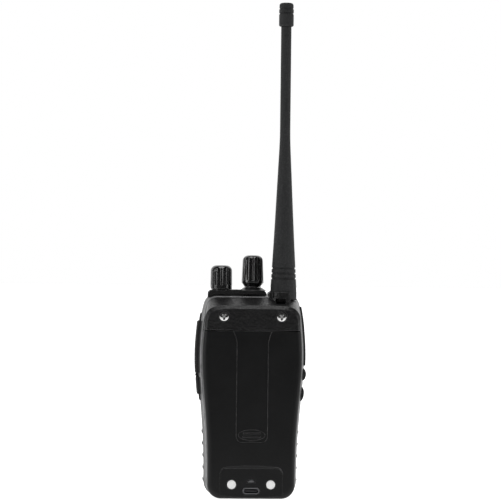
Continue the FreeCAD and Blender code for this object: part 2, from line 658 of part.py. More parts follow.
def controls():
    control("volume_pot", "volume_x", "volume", "volume_top - 3.2")
    control("channel_switch", "channel_x", "channel", "channel_top - 4")
    ring_nuts()
    knob("volume_knob", "volume_x",
         [("0", "trim_top + 0.3"), ("5.8", "trim_top + 0.3"), ("volume_d / 2", "trim_top + 0.7"),
          ("volume_d / 2 - 0.1", "volume_top"), ("0", "volume_top")],
         (0.9, size("volume_d") / 2 + 0.52, size("trim_top") + 2.6, 0.6), "volume_top - 3.18")
    knob("channel_knob", "channel_x",
         [("0", "115"), ("4.5", "115"), ("4.5", "115.3"), ("channel_d / 2", "117.4"),
          ("channel_d / 2", "118.2"), ("5.5", "channel_top"), ("0", "channel_top")],
         (0.8, size("channel_d") / 2 + 0.22, 118.6, 3.5), "channel_top - 3.98")


def side_controls():
    """PTT bar and the two domed side keys; each has a lip inside the case wall that keeps it in."""
    for label, low, high, proud, edge, flange, dome in (
            ("ptt_button", "ptt_low", "ptt_high", size("ptt_proud"), 0.6, ("72", "98"), None),
            ("side_key_upper", "63.6", "70.6", 1.5, 0.7, ("62.9", "71.2"), (67.1, 4.6)),
            ("side_key_lower", "52", "60.4", 1.35, 0.7, ("51.4", "61.0"), (56.6, 6.6))):
        bar = side_band(label + "_bar", -1, low, high, -2.6, proud, "control_front", "control_back", edge)
        if dome:
            middle, radius = dome
            x = radius - proud - side_at(CASE, middle)
            bar = common(label + "_domed", bar, rod(label + "_dome", 2 * radius, (-13, 1), "y", (x, middle)))
        lip = side_band(label + "_lip", -1, flange[0], flange[1], -3.3, -2.5, "control_front - 0.9",
                        "control_back - 0.3")
        parts = [bar, lip]
        if label == "ptt_button":
            doc.recompute()
            tools = []
            for number in range(5):
                height = 79.6 + 3.8 * number
                x = -(side_at(CASE, height) + proud + 0.35)
                tools.append(rod("ptt_groove", 1.6, (-9.4, -3.2), "y", (x, height)))
            keep(cut("ptt_cut", fuse("ptt_whole", *parts), *tools), label)
        else:
            keep(fuse(label + "_whole", *parts), label)


def jack_cover():
    """Rubber flap over the two jacks, and the fixed end of its strap."""
    front, back = "control_front", "control_back"
    proud = size("flap_proud")
    flap = side_band("flap_body", 1, "flap_low", "flap_high", -0.8, proud, front, back, 1.1)
    span = ("control_front + 2", "control_back - 2")
    hinge = size("hinge_proud")
    tongue = side_band("flap_tongue", 1, "hinge_z + 0.1", "flap_low + 0.5", -0.8, hinge + 0.1, *span)
    tip = side_band("flap_tip", 1, "flap_high - 0.4", "100.2", -0.8, 0.8, "control_front + 1",
                    "control_back - 1", 0.6)
    pips = []
    for height in ("mic_jack_z", "speaker_jack_z"):
        x = side_at(CASE, size(height)) - 0.5
        pips.append(rod("flap_pip", 1.3, (x - 1.6, x), "x", ("jack_y", height)))
    hinge_x = side_at(CASE, size("hinge_z")) + hinge
    bead = rod("flap_bead", 0.7, span, "y", (hinge_x, "hinge_z"))
    keep(fuse("flap_whole", flap, tongue, tip, bead, *pips), "jack_cover")
    block_part = side_band("anchor_body", 1, "55.6", "65", -0.85, proud - 0.15, front, back, 1.1)
    strap = side_band("anchor_tongue", 1, "64.2", "hinge_z - 0.1", -0.85, hinge + 0.1, *span)
    tail = side_band("anchor_tail", 1, "52.4", "56.4", -0.85, 0.7, front, back, 0.6)
    room = rod("bead_room", 0.9, ("control_front", "control_back"), "y", (hinge_x, "hinge_z"))
    keep(cut("anchor_cut", fuse("anchor_whole", block_part, strap, tail), room), "jack_cover_anchor")


def case_seal():
    owner = new_body("seal_form")
    outer = outline_edges(CASE, "case_top", size("wall") + 0.05)
    pad(owner, sketch(owner, "seal_outer", "XZ_Plane", -1.8, outer), 1.2)
    hole = new_body("seal_hole")
    inner = outline_edges(CASE, "case_top", size("wall") + 1.05)
    pad(hole, sketch(hole, "seal_inner", "XZ_Plane", -2, inner), 2)
    gaps = [block("seal_gap_boss", ("-22.4", "-8.4"), (-3, 4), (103.4, 112)),
            block("seal_gap_latch", (-8, 8), (-3, 4), (-1, 5))]
    keep(cut("seal_cut", owner, hole, *gaps), "case_seal")


# ---------------------------------------------------------------------------- chassis
def lug_heights():
    return [18.0, 44.0, 69.4]


def chassis(hood):
    owner = new_body("plate_form")
    edges = outline_edges(CASE, "case_top", size("wall") + 1.15)
    pad(owner, sketch(owner, "plate_outline", "XZ_Plane", "-(split_y + 0.02)", edges),
        "split_y + 0.02 - plate_front")
    pieces = [owner, hood, seat_collar("hood_collar", ("split_y", "12"))]
    lug = size("lug_x")
    for side in (-1, 1):
        for height in lug_heights():
            span = (height, height + size("lug_length"))
            stem = sorted((side * (lug - 0.6), side * (lug + 0.6)))
            head = sorted((side * (lug - 0.6), side * (lug + 2.2)))
            pieces.append(block("lug_stem", stem, ("split_y - 0.5", "split_y + 1.9"), span))
            pieces.append(block("lug_head", head, ("split_y + 1.2", "split_y + 2.0"), span))
    for x, height in ((-13, 62), (13, 62), (-17.5, 12), (17.5, 12)):
        pieces.append(rod("post", 4.4, ("pcb_back + 0.01", "plate_front + 0.5"), "y", (x, height)))
    tools = seat_cutters("hood_antenna")
    tools.append(rod("socket_room", 10, ("98", "103.6"), "z", ("antenna_x", "0")))
    tools.append(block("plate_notch", (-22.6, -8.2), ("-2", "split_y"), (103.2, 112)))
    tools.append(block("plate_latch", (-8.4, 8.4), ("-2", "split_y + 1"), (-1, 5.2)))
    tools.append(block("hood_core", (-20, 20), ("-1", "9.5"), (94.5, 101.2)))
    for x in ("-clip_screw_x", "clip_screw_x"):
        tools.append(rod("clip_seat", "clip_head_d + 0.7", ("seat_y - 1.9", "20"), "y", (x, "clip_screw_z")))
        tools.append(rod("clip_bore", 2.9, ("5", "20"), "y", (x, "clip_screw_z")))
    for x in (-17.5, 17.5):
        tools.append(rod("case_screw_head", 4.4, ("split_y - 1.2", "10"), "y", (x, 12)))
        tools.append(rod("case_screw_hole", 2.4, ("-5", "10"), "y", (x, 12)))
    for x in (-13, 13):
        tools.append(rod("board_screw_hole", 1.7, ("-5", "2"), "y", (x, 62)))
    tools.append(block("contact_slot", (-8, 8), ("split_y - 0.6", "split_y + 1"), (80, 87)))
    # the eye for a hand strap, through the wall behind the antenna, and the slit beside it
    eye = ("antenna_x - 0.9", "antenna_x + 4.7")
    tools.append(block("strap_hole", eye, ("3.4", "20"), (106.2, 109.1)))
    tools.append(block("strap_pocket", eye, ("3.4", "6.6"), (106.2, 120)))
    tools.append(block("strap_slit", ("antenna_x + 5.4", "antenna_x + 6.0"), ("4", "12"), (109.4, 120)))
    keep(cut("chassis_cut", fuse("chassis_solid", *pieces), *tools), "chassis")


def phillips_screw(name, head_d, head_t, shank_d, x, z, head_y, length, heads_to=1):
    """Pan head screw along Y; heads_to is +1 where the head faces the back."""
    low, high = sorted((head_y, head_y + heads_to * head_t))
    head = rod(name + "_head", head_d, (low, high), "y", (x, z))
    dome = ball(name + "_dome", 2.1 * head_d, x, head_y + heads_to * (head_t - 1.02 * head_d), z)
    pan = common(name + "_pan", head, dome)
    reach = sorted((head_y, head_y - heads_to * length))
    shank = rod(name + "_shank", shank_d, reach, "y", (x, z))
    depth = sorted((head_y + heads_to * head_t * 0.35, head_y + heads_to * (head_t + 1)))
    arm, width = 0.36 * head_d, 0.095 * head_d
    slots = [block(name + "_slot_a", (x - arm, x + arm), depth, (z - width, z + width)),
             block(name + "_slot_b", (x - width, x + width), depth, (z - arm, z + arm))]
    return cut(name, fuse(name + "_solid", pan, shank), *slots)


def screws():
    def group(label, items):
        keep(doc.addObject("Part::Compound", label + "_set"), label).Links = items
    seat = size("seat_y") - 1.9
    clip_x, clip_z = size("clip_screw_x"), size("clip_screw_z")
    group("clip_screws", [phillips_screw("clip_screw", size("clip_head_d"), 1.9, 2.88, x, clip_z, seat, 6.5)
                          for x in (-clip_x, clip_x)])
    group("case_screws", [phillips_screw("case_screw", 4.0, 1.1, 1.7, x, 12, size("split_y") - 1.2, 11)
                          for x in (-17.5, 17.5)])
    group("board_screws", [phillips_screw("board_screw", 3.4, 1.0, 1.68, x, 62, size("pcb_front"), 4.2, -1)
                           for x in (-13, 13)])


def antenna_socket():
    axis = ("antenna_x", "0")
    flange = rod("socket_flange", 9.5, ("102.2", "103.5"), "z", axis)
    post = rod("socket_post", "post_d", ("103", "115.2"), "z", axis)
    nut = rod("socket_tail", 4.0, ("98.4", "102.2"), "z", axis)
    hole = rod("socket_hole", 2.2, ("106.2", "130"), "z", axis)
    keep(cut("socket_cut", fuse("socket_solid", flange, post, nut), hole), "antenna_socket")


def battery_contacts():
    items = [block("blade", (x - 1.2, x + 1.2), ("split_y - 0.58", "split_y + 0.1"), (80.6, 86.4))
             for x in (-5.0, 0.0, 5.0)]
    keep(doc.addObject("Part::Compound", "blade_set"), "battery_blades").Links = items


def latch():
    """Sliding catch under the radio with its spring; the tongue reaches into the battery."""
    plate = block("latch_plate", (-7.2, 7.2), ("-9", "split_y - 0.2"), ("wall + 0.12", "wall + 1.8"))
    thumb = block("latch_thumb", (-5, 5), ("-6", "-2.3"), ("0.45", "wall + 0.5"))
    tongue = block("latch_tongue", (-4, 4), ("split_y - 0.5", "split_y + 1.7"),
                   ("wall + 0.12", "wall + 1.6"))
    grooves = [block("thumb_groove", (-5.5, 5.5), (y, y + 0.5), (0, 0.85)) for y in (-5.3, -4.3, -3.3)]
    slot = block("spring_slot", (-1.9, 1.9), (-8.2, -2.4), ("wall", "wall + 3"))
    keep(cut("latch_cut", fuse("latch_solid", plate, thumb, tongue), slot, *grooves), "battery_latch")
    helix = doc.addObject("Part::Helix", "latch_helix")
    helix.Pitch = 0.62
    helix.Height = 3.1
    helix.Radius = 0.62
    wire = doc.addObject("Part::Circle", "latch_wire")
    wire.Radius = 0.17
    wire.Placement = FreeCAD.Placement(V(0.62, 0, 0), FreeCAD.Rotation(V(1, 0, 0), 90))
    coil = doc.addObject("Part::Sweep", "latch_coil")
    coil.Sections = [wire]
    coil.Spine = (helix, ["Edge1"])
    coil.Solid = True
    coil.Frenet = True
    coil.Placement = FreeCAD.Placement(V(0, -8.0, size("wall") + 0.95), FreeCAD.Rotation(V(1, 0, 0), -90))
    keep(coil, "latch_spring")


# ---------------------------------------------------------------------------- battery
def battery(skin):
    lower = block("battery_slab", (-40, 40), ("battery_front", "20"), (-1, "battery_top"))
    top = size("battery_top")
    body = rounded("battery_outside_round", common("battery_outside", skin, lower), 0.4,
                   lambda edge: lies_at("z", top)(edge) and not lies_at("y", size("battery_front"))(edge))
    hollow = new_body("battery_hollow")
    edges = outline_edges(BACK, "back_top", size("battery_wall"))
    pad(hollow, sketch(hollow, "battery_space", "XZ_Plane", "-(back_y - 2.6)", edges),
        "back_y - 2.6 - battery_front + 0.5")
    space = common("battery_space_cut", hollow,
                   block("space_limit", (-40, 40), ("0", "20"), (0, "battery_top - battery_wall")))
    usb_hull = block("usb_hull", ("-(usb_w / 2 + 1.6)", "usb_w / 2 + 1.6"), ("10", "20"), (0, 7.4))
    tools = [cut("battery_space_shaped", space, usb_hull)]
    # belt clip channel: flared mouth, straight sides and an elliptical end
    owner = new_body("clip_channel")
    half, end = size("channel_w") / 2, size("channel_end")
    mouth, flare = 11.6, 84.2
    high = size("battery_top") + 1

    def flank(side):
        curve = Part.BSplineCurve()
        curve.interpolate(Points=[V(side * half, flare, 0), V(side * (half + 0.9), 88.6, 0),
                                  V(side * mouth, high, 0)],
                          InitialTangent=V(0, 5, 0), FinalTangent=V(side * 4, 3, 0))
        return curve
    right, left = flank(1), flank(-1)
    bow = Part.BSplineCurve()
    bow.interpolate(Points=[V(-half, end, 0), V(0, end - 3.8, 0), V(half, end, 0)],
                    InitialTangent=V(0, -9, 0), FinalTangent=V(0, 9, 0))
    channel_edges = [bow, Part.LineSegment(V(half, end, 0), V(half, flare, 0)), right,
                     Part.LineSegment(V(mouth, high, 0), V(-mouth, high, 0)), left,
                     Part.LineSegment(V(-half, flare, 0), V(-half, end, 0))]
    pad(owner, sketch(owner, "channel_face", "XZ_Plane", "-(back_y + 1)", channel_edges),
        "1 + channel_depth")
    tools.append(owner)
    # charging panel: level lip whose ends turn down, and a flat floor to the bottom edge
    panel = new_body("charge_panel")
    half_panel = "panel_w / 2"
    face = polygon(panel, "panel_face", "XZ_Plane", "-back_y",
                   [("-%s" % half_panel, -6), (half_panel, -6), (half_panel, "panel_top - 3.4"),
                    ("panel_w / 2 - 1.8", "panel_top - 0.6"), ("panel_w / 2 - 3.6", "panel_top"),
                    ("3.6 - panel_w / 2", "panel_top"), ("1.8 - panel_w / 2", "panel_top - 0.6"),
                    ("-%s" % half_panel, "panel_top - 3.4")])
    recess = pad(panel, face, "panel_depth")
    recess.TaperAngle = -size("panel_slope")
    tools.append(panel)
    for x in ("-contact_x", "contact_x"):
        tools.append(rod("contact_hole", "contact_d + 0.8", ("8", "20"), "y", (x, "contact_z")))
    tools += stadium("usb_hole", "usb_w + 0.7", "usb_t + 0.7", ("6", "20"))
    tools.append(rod("light_hole", 1.7, ("8", "20"), "y", ("0", "9.7")))
    tools.append(arch("light_slot", 5.0, ("10", "20"), 8.9))
    cover = cut("battery_cover_cut", body, *tools)
    # raised thumb pad with plain ribs at the end of the channel
    owner = new_body("thumb_pad_form")
    face = sketch(owner, "thumb_pad_face", "XZ_Plane", "-(back_y - channel_depth + 0.35)",
                  [Part.Ellipse(V(0, size("pad_z"), 0), 7.3, 2.9)])
    pad(owner, face, 1.2)
    ribs = []
    for level, reach in (("pad_z + 1.1", 4.6), ("pad_z - 0.9", 4.8)):
        ribs.append(rod("pad_rib", 0.8, (-reach, reach), "x", ("back_y - channel_depth + 0.35", level)))
    keep(fuse("battery_cover_whole", cover, owner, *ribs), "battery_cover")


def arch(name, diameter, y, low):
    """Segment of a round bar above the height low, for the charging lamp's window."""
    return common(name, rod(name + "_round", diameter, y, "y", ("0", low - 0.5)),
                  block(name + "_limit", (-5, 5), y, (low, low + 5)))


def stadium(name, width, height, y):
    """Three solids that together are a rounded slot lying level at the port's height."""
    half = "((%s) - (%s)) / 2" % (width, height)
    return [block(name + "_middle", ("-" + half, half), y,
                  ("usb_z - (%s) / 2" % height, "usb_z + (%s) / 2" % height)),
            rod(name + "_left", height, y, "y", ("-" + half, "usb_z")),
            rod(name + "_right", height, y, "y", (half, "usb_z"))]


def battery_inside():
    owner = new_body("inner_form")
    edges = outline_edges(BACK, "back_top", size("battery_wall") + 0.08)
    pad(owner, sketch(owner, "inner_outline", "XZ_Plane", "-(battery_front + 2.7)", edges), 2.7)
    limit = block("inner_limit", (-40, 40), ("0", "20"), (0, "battery_top - battery_wall - 0.1"))
    plate = common("inner_plate", owner, limit)
    lug, length, travel = size("lug_x"), size("lug_length"), size("battery_travel")
    tools = []
    for side in (-1, 1):
        for height in lug_heights():
            stem = sorted((side * (lug - 0.85), side * (lug + 0.85)))
            head = sorted((side * (lug - 0.85), side * (lug + 2.45)))
            run = (height - 0.3, height + length + travel + 0.5)
            mouth = (height + travel - 0.3, height + length + travel + 0.5)
            tools.append(block("lug_slot", stem, ("0", "battery_front + 2.1"), run))
            tools.append(block("lug_run", head, ("battery_front + 0.75", "battery_front + 2.1"), run))
            tools.append(block("lug_mouth", head, ("0", "battery_front + 2.1"), mouth))
    tools.append(block("latch_groove", (-4.6, 4.6), ("0", "battery_front + 2"), ("wall - 0.3", 18.5)))
    tools.append(block("terminal_slot", (-8, 8), ("0", "battery_front + 0.6"), (78, 88)))
    keep(cut("inner_plate_cut", plate, *tools), "battery_inner_plate")
    back = size("battery_front") + 2.7 + 0.05
    keep(rounded("cell_rounded", block("cell", (-17, 17), (back, "back_y - 2.75"), (24, 78)), 1.6,
                 lambda edge: edge.BoundBox.ZLength > 40), "battery_cell")
    keep(block("protection", (-15, 15), (back + 0.2, back + 1.4), (9.5, 22.5)), "charging_board")
    keep(block("foam", (-14, 14), (back, "back_y - 3"), (79, 87)), "battery_foam_pad")
    plates = [block("terminal", (x - 1.5, x + 1.5), ("battery_front + 0.05", "battery_front + 0.58"),
                    (79, 87.6)) for x in (-5.0, 0.0, 5.0)]
    keep(doc.addObject("Part::Compound", "terminal_set"), "battery_terminals").Links = plates
    studs = []
    for x in ("-contact_x", "contact_x"):
        face = rod("stud_face", "contact_d", ("back_y - 2.0", "back_y - panel_depth - 0.25"), "y",
                   (x, "contact_z"))
        stem = rod("stud_stem", 2.0, ("8.2", "back_y - 1.9"), "y", (x, "contact_z"))
        studs.append(fuse("stud", face, stem))
    keep(doc.addObject("Part::Compound", "stud_set"), "charge_contacts").Links = studs


def usb_port():
    mouth = "back_y - panel_depth - 0.45"
    span = ("6.8", mouth)
    outer = fuse("usb_outer", *stadium("usb_skin", "usb_w", "usb_t", span))
    inner = fuse("usb_inner", *stadium("usb_room", "usb_w - 0.62", "usb_t - 0.62", ("7.4", "20")))
    keep(cut("usb_shell_cut", outer, inner), "usb_shell")
    keep(block("tongue", (-3.34, 3.34), ("7.42", "back_y - 1.9"), ("usb_z - 0.35", "usb_z + 0.35")),
         "usb_tongue")
    keep(arch("lamp", 4.0, ("12.2", "back_y - panel_depth - 0.3"), 9.05), "charge_light_pipe")


# ---------------------------------------------------------------------------- antenna
def antenna():
    owner = new_body("sleeve_form")
    base, mid = size("sleeve_d") / 2, size("mid_d") / 2
    taper = Part.BSplineCurve()
    stations = [("mid_d", "mid_z"), ("neck_d", "neck_z"), ("thin_d", "thin_z"), ("whip_d", "whip_z")]
    slope = (base - mid) / (size("mid_z") - 112)
    points = [V(size(d) / 2, size(z), 0) for d, z in stations]
    taper.interpolate(Points=points, InitialTangent=V(-slope, 1, 0) * 30, FinalTangent=V(0, 1, 0) * 16)
    foot, top, tip = size("antenna_base"), size("sleeve_top"), size("whip_d") / 2
    edges = [Part.LineSegment(V(0, foot, 0), V(base - 0.5, foot, 0)),
             Part.LineSegment(V(base - 0.5, foot, 0), V(base, foot + 0.5, 0)),
             Part.LineSegment(V(base, foot + 0.5, 0), V(base, 112, 0)),
             Part.LineSegment(V(base, 112, 0), points[0]), taper,
             Part.LineSegment(points[-1], V(tip, top, 0)), Part.LineSegment(V(tip, top, 0), V(0, top, 0)),
             Part.LineSegment(V(0, top, 0), V(0, foot, 0))]
    half = sketch(owner, "sleeve_half", "XZ_Plane", 0, edges)
    turned(owner, half)
    place(owner, "antenna_x", 0, 0)
    axis = ("antenna_x", "0")
    tools = []
    for number, height in enumerate((120.0, 122.8, 125.6)):
        radius = base - slope * (height - 112)
        ring = rod("ring_%d" % number, 20, (height - 0.45, height + 0.45), "z", axis)
        core = rod("core_%d" % number, 2 * radius - 0.8, (height - 1, height + 1), "z", axis)
        tools.append(cut("ring_groove_%d" % number, ring, core))
    tools += [rod("sleeve_socket", 10.02, ("100", "117"), "z", axis),
              rod("sleeve_coil_room", 5.2, ("116", "162"), "z", axis),
              rod("sleeve_core", 1.7, ("160", "258"), "z", axis)]
    keep(cut("sleeve_cut", owner, *tools), "antenna_sleeve")
    ferrule = rod("ferrule_rod", 10.0, ("antenna_base + 1.2", "116.9"), "z", axis)
    keep(cut("ferrule_cut", ferrule, rod("ferrule_hole", "ferrule_bore", ("100", "115.9"), "z", axis),
             rod("ferrule_pin_hole", 1.7, ("115", "118"), "z", axis)), "antenna_ferrule")
    keep(rod("pin", 1.3, ("107.4", "119"), "z", axis), "antenna_pin")
    keep(rod("whip", 1.6, ("160.3", "257.6"), "z", axis), "antenna_whip")
    helix = doc.addObject("Part::Helix", "coil_helix")
    helix.Pitch = 2.6
    helix.Height = 36.4
    helix.Radius = 1.9
    wire = doc.addObject("Part::Circle", "coil_wire")
    wire.Radius = 0.35
    wire.Placement = FreeCAD.Placement(V(1.9, 0, 0), FreeCAD.Rotation(V(1, 0, 0), 90))
    coil = doc.addObject("Part::Sweep", "coil_sweep")
    coil.Sections = [wire]
    coil.Spine = (helix, ["Edge1"])
    coil.Solid = True
    coil.Frenet = True
    place(coil, "antenna_x", 0, 121.5)
    keep(coil, "antenna_coil")
    cap = new_body("cap_form")
    radius = size("cap_d") / 2
    low, high = size("cap_bottom"), size("cap_top")
    profile = [(0, low), (radius - 0.4, low), (radius, low + 0.5), (radius, high - 6.3),
               (radius - 0.35, high - 6.1), (radius - 0.35, high - 5.6), (radius, high - 5.4),
               (radius, high - 3.6), (radius - 0.35, high - 3.4), (radius - 0.35, high - 2.9),
               (radius - 0.12, high - 2.7), (radius - 0.2, high), (0, high)]
    solid = turned(cap, polygon(cap, "cap_half", "XZ_Plane", 0, profile))
    dress(cap, "Fillet", "cap_round", solid,
          lambda edge: lies_at("z", high)(edge) and edge.BoundBox.XLength > 1, Radius=1.3)
    place(cap, "antenna_x", 0, 0)
    keep(cap, "antenna_tip_cap")


# ---------------------------------------------------------------------------- build and write
def build():
    outside = case_form()
    skin = back_form()
    hood = hood_form()
    front_case(outside)
    front_face()
    top_trim(outside)
    top_lights()
    speaker()
    electronics()
    controls()
    side_controls()
    jack_cover()
    case_seal()
    chassis(hood)
    screws()
    antenna_socket()
    battery_contacts()
    latch()
    battery(skin)
    battery_inside()
    usb_port()
    antenna()
    doc.recompute()


def check_and_write():
    failed = [item.Name for item in doc.Objects if {"Invalid", "Error"} & set(item.State)]
    for label, item in PARTS.items():
        if item.Shape.isNull() or not item.Shape.isValid() or not item.Shape.Solids:
            failed.append(label)
    if failed:
        raise RuntimeError("these failed: " + ", ".join(failed))
    os.makedirs("parts", exist_ok=True)
    for label, item in PARTS.items():
        item.Shape.exportStep("parts/%s.step" % label)


build()
check_and_write()
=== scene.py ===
"""Two way radio: materials, floor, light and camera round the CAD frame."""

import json
import math

import bpy
from mathutils import Matrix, Vector

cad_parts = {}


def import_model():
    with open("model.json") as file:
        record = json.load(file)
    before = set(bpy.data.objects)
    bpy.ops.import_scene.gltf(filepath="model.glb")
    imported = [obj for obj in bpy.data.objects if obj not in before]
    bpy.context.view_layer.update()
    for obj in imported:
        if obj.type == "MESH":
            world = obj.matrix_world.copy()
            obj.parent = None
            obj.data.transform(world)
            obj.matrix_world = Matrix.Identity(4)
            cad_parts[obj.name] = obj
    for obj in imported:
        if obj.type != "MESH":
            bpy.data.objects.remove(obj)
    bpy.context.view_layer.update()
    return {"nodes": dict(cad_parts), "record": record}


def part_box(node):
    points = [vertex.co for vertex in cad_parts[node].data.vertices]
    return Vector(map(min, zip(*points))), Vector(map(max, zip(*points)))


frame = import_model()
nodes = frame["nodes"]
MM = 0.001

NOISE_LOW = 0.3
NOISE_HIGH = 0.7
# sizes of the patterns in moulded plastic, in mm
TONE_MM = 14.0
SCRATCH_MM = 2.4
EDGE_PATCH_MM = 3.0
HIGHLIGHT_STRIP_PATCH_MM = 5.0
# how much lighter than the plastic its speckles are, and its edges, which also get a pale base; the pale
# edges are partly rubbing wear and partly painted highlight
SPECKLE_GAIN = 2.6
EDGE_WEAR_HIGHLIGHT_GAIN = 3.2
EDGE_WEAR_HIGHLIGHT_BASE = 0.09
# how much smoother the scratches and the rubbed edges are
SCRATCH_POLISH = 0.05
EDGE_POLISH = 0.08
# size of the tone, the dust and the edge radius of rubber parts, in mm
RUBBER_TONE_MM = 9.0
DUST_MM = 0.8
RUBBER_EDGE_MM = 0.25
# size of the stains on metal parts, and depth of their recesses that are painted dark as shade, in mm
STAIN_MM = 2.2
RECESS_SHADE_REACH_MM = 1.2
# flow marks in clear parts and thread spacing of the speaker cloth, in mm
SWIRL_MM = 1.5
THREAD_MM = 0.5


# ------------------------------------------------------------------------------- node graphs
class Graph:
    """A material's node tree, with one short call for each kind of node."""

    def __init__(self, name):
        self.material = bpy.data.materials.new(name)
        self.material.use_nodes = True
        self.tree = self.material.node_tree
        self.shader = self.tree.nodes["Principled BSDF"]
        coordinates = self.tree.nodes.new("ShaderNodeTexCoord")
        self.place = coordinates.outputs["Object"]

    def node(self, kind, **inputs):
        made = self.tree.nodes.new("ShaderNode" + kind)
        for key, value in inputs.items():
            self.feed(made, key.replace("_", " "), value)
        return made

    def feed(self, node, socket, value):
        if isinstance(value, bpy.types.NodeSocket):
            self.tree.links.new(value, node.inputs[socket])
        else:
            node.inputs[socket].default_value = value

    def noise(self, size_mm, detail=3.0, rough=0.55, stretch=None, shift=0.0):
        """Noise whose patches are about size_mm across."""
        where = self.place
        if stretch or shift:
            mapping = self.node("Mapping", Vector=where)
            mapping.inputs["Location"].default_value = (shift, shift * 0.7, shift * 1.3)
            mapping.inputs["Scale"].default_value = stretch or (1, 1, 1)
            where = mapping.outputs["Vector"]
        made = self.node("TexNoise", Vector=where, Detail=detail, Roughness=rough)
        made.inputs["Scale"].default_value = 1 / (size_mm * MM)
        return made.outputs["Fac"]

    def spots(self, size_mm):
        """Distance to the nearest of many scattered points, about size_mm apart."""
        made = self.node("TexVoronoi", Vector=self.place, Scale=1 / (size_mm * MM))
        return made.outputs["Distance"]

    def ramp(self, value, low, high, out_low=0.0, out_high=1.0):
        """Value from low to high, turned into out_low to out_high."""
        made = self.node("MapRange", Value=value)
        made.clamp = True
        made.inputs["From Min"].default_value = low
        made.inputs["From Max"].default_value = high
        made.inputs["To Min"].default_value = out_low
        made.inputs["To Max"].default_value = out_high
        return made.outputs["Result"]

    def spread(self, noise, out_low=0.0, out_high=1.0):
        """Noise, most of which lies between NOISE_LOW and NOISE_HIGH, turned into out_low to out_high."""
        return self.ramp(noise, NOISE_LOW, NOISE_HIGH, out_low, out_high)

    def maths(self, operation, first, second=0.0):
        made = self.tree.nodes.new("ShaderNodeMath")
        made.operation = operation
        for slot, value in enumerate((first, second)):
            if isinstance(value, bpy.types.NodeSocket):
                self.tree.links.new(value, made.inputs[slot])
            else:
                made.inputs[slot].default_value = value
        return made.outputs[0]

    def blend(self, amount, first, second):
        """Colour between first and second."""
        made = self.tree.nodes.new("ShaderNodeMix")
        made.data_type = "RGBA"
        self.tree.links.new(amount, made.inputs[0])
        for slot, value in ((6, first), (7, second)):
            if isinstance(value, bpy.types.NodeSocket):
                self.tree.links.new(value, made.inputs[slot])
            else:
                made.inputs[slot].default_value = (*value, 1.0)
        return made.outputs[2]

    def edges(self, radius_mm=0.5):
        """1 on edges, 0 on plain faces, by comparing a rounded normal with the true one."""
        rounded = self.node("Bevel", Radius=radius_mm * MM)
        rounded.samples = 4
        true = self.tree.nodes.new("ShaderNodeNewGeometry")
        dot = self.tree.nodes.new("ShaderNodeVectorMath")
        dot.operation = "DOT_PRODUCT"
        self.tree.links.new(rounded.outputs["Normal"], dot.inputs[0])
        self.tree.links.new(true.outputs["Normal"], dot.inputs[1])
        return self.ramp(dot.outputs["Value"], 0.97, 0.80)

    def rounded(self, radius_mm):
        """Surface normal that turns smoothly over every sharp edge, as a moulded edge does."""
        made = self.node("Bevel", Radius=radius_mm * MM)
        made.samples = 6
        return made.outputs["Normal"]

    def hollows(self, reach_mm):
        """1 on open faces, falling towards 0 in narrow recesses."""
        made = self.node("AmbientOcclusion", Distance=reach_mm * MM)
        made.samples = 8
        return made.outputs["AO"]

    def bump(self, height, depth_mm, under=None):
        made = self.node("Bump", Height=height, Strength=1.0, Distance=depth_mm * MM)
        if under is not None:
            self.tree.links.new(under, made.inputs["Normal"])
        return made.outputs["Normal"]

    def finish(self, **inputs):
        for key, value in inputs.items():
            self.feed(self.shader, key.replace("_", " "), value)
        return self.material


def moulded(name, dark, light, rough_low, rough_high, grain_mm, grain_depth, edge_wear_and_highlight, specular=0.5,
            edge_mm=0.35, mottle=0.35, highlight_strip=None):
    """Injection moulded plastic: spark-eroded grain, uneven sheen, handling marks, and edges painted pale,
    partly as rubbing wear and partly as painted highlight.

    The strip argument is (axis, centre, reach, edges only, colour) of a band painted pale as a highlight."""
    graph = Graph(name)
    broad = graph.noise(TONE_MM, 4.0)
    fine = graph.noise(grain_mm, 2.0, 0.6)
    pits = graph.spots(grain_mm * 1.3)
    scratch = graph.noise(SCRATCH_MM, 5.0, 0.7, stretch=(1.0, 1.0, 0.07), shift=0.3)
    marks = graph.ramp(scratch, 0.60, 0.72)
    body = graph.blend(graph.spread(broad), dark, light)
    speckle = graph.ramp(fine, 0.52, 0.72, 0.0, mottle)
    body = graph.blend(speckle, body, tuple(min(1.0, c * SPECKLE_GAIN) for c in light))
    patchy = graph.ramp(graph.noise(EDGE_PATCH_MM, 4.0), 0.25, 0.60, 0.35, 1.0)
    edge = graph.maths("MULTIPLY", graph.edges(), patchy)
    # painted highlight: edges painted lighter, partly as rubbing wear and partly standing in for the light
    # they catch
    rubbed_and_highlit = tuple(min(1.0, c * EDGE_WEAR_HIGHLIGHT_GAIN + EDGE_WEAR_HIGHLIGHT_BASE) for c in light)
    body = graph.blend(graph.maths("MULTIPLY", edge, edge_wear_and_highlight), body, rubbed_and_highlit)
    # painted highlight: a pale strip along one axis, optionally only on edges, standing in for light
    # caught there
    if highlight_strip:
        axis, centre, reach, edges_only, colour = highlight_strip
        split = graph.node("SeparateXYZ", Vector=graph.place)
        away = graph.maths("ABSOLUTE", graph.maths("SUBTRACT", split.outputs[axis], centre))
        uneven = graph.ramp(graph.noise(HIGHLIGHT_STRIP_PATCH_MM, 5.0, shift=0.5), 0.35, 0.65, 0.35, 1.0)
        amount = graph.maths("MULTIPLY", graph.ramp(away, reach, 0.0), uneven)
        if edges_only:
            amount = graph.maths("MULTIPLY", amount, graph.edges(1.0))
        body = graph.blend(amount, body, colour)
    rough = graph.spread(broad, rough_low, rough_high)
    rough = graph.maths("SUBTRACT", rough, graph.maths("MULTIPLY", marks, SCRATCH_POLISH))
    rough = graph.maths("SUBTRACT", rough, graph.maths("MULTIPLY", edge, EDGE_POLISH))
    height = graph.maths("ADD", graph.maths("MULTIPLY", pits, 0.6), fine)
    normal = graph.bump(height, grain_depth, graph.rounded(edge_mm))
    graph.finish(Base_Color=body, Roughness=rough, Normal=normal)
    graph.shader.inputs["Specular IOR Level"].default_value = specular
    return graph.material


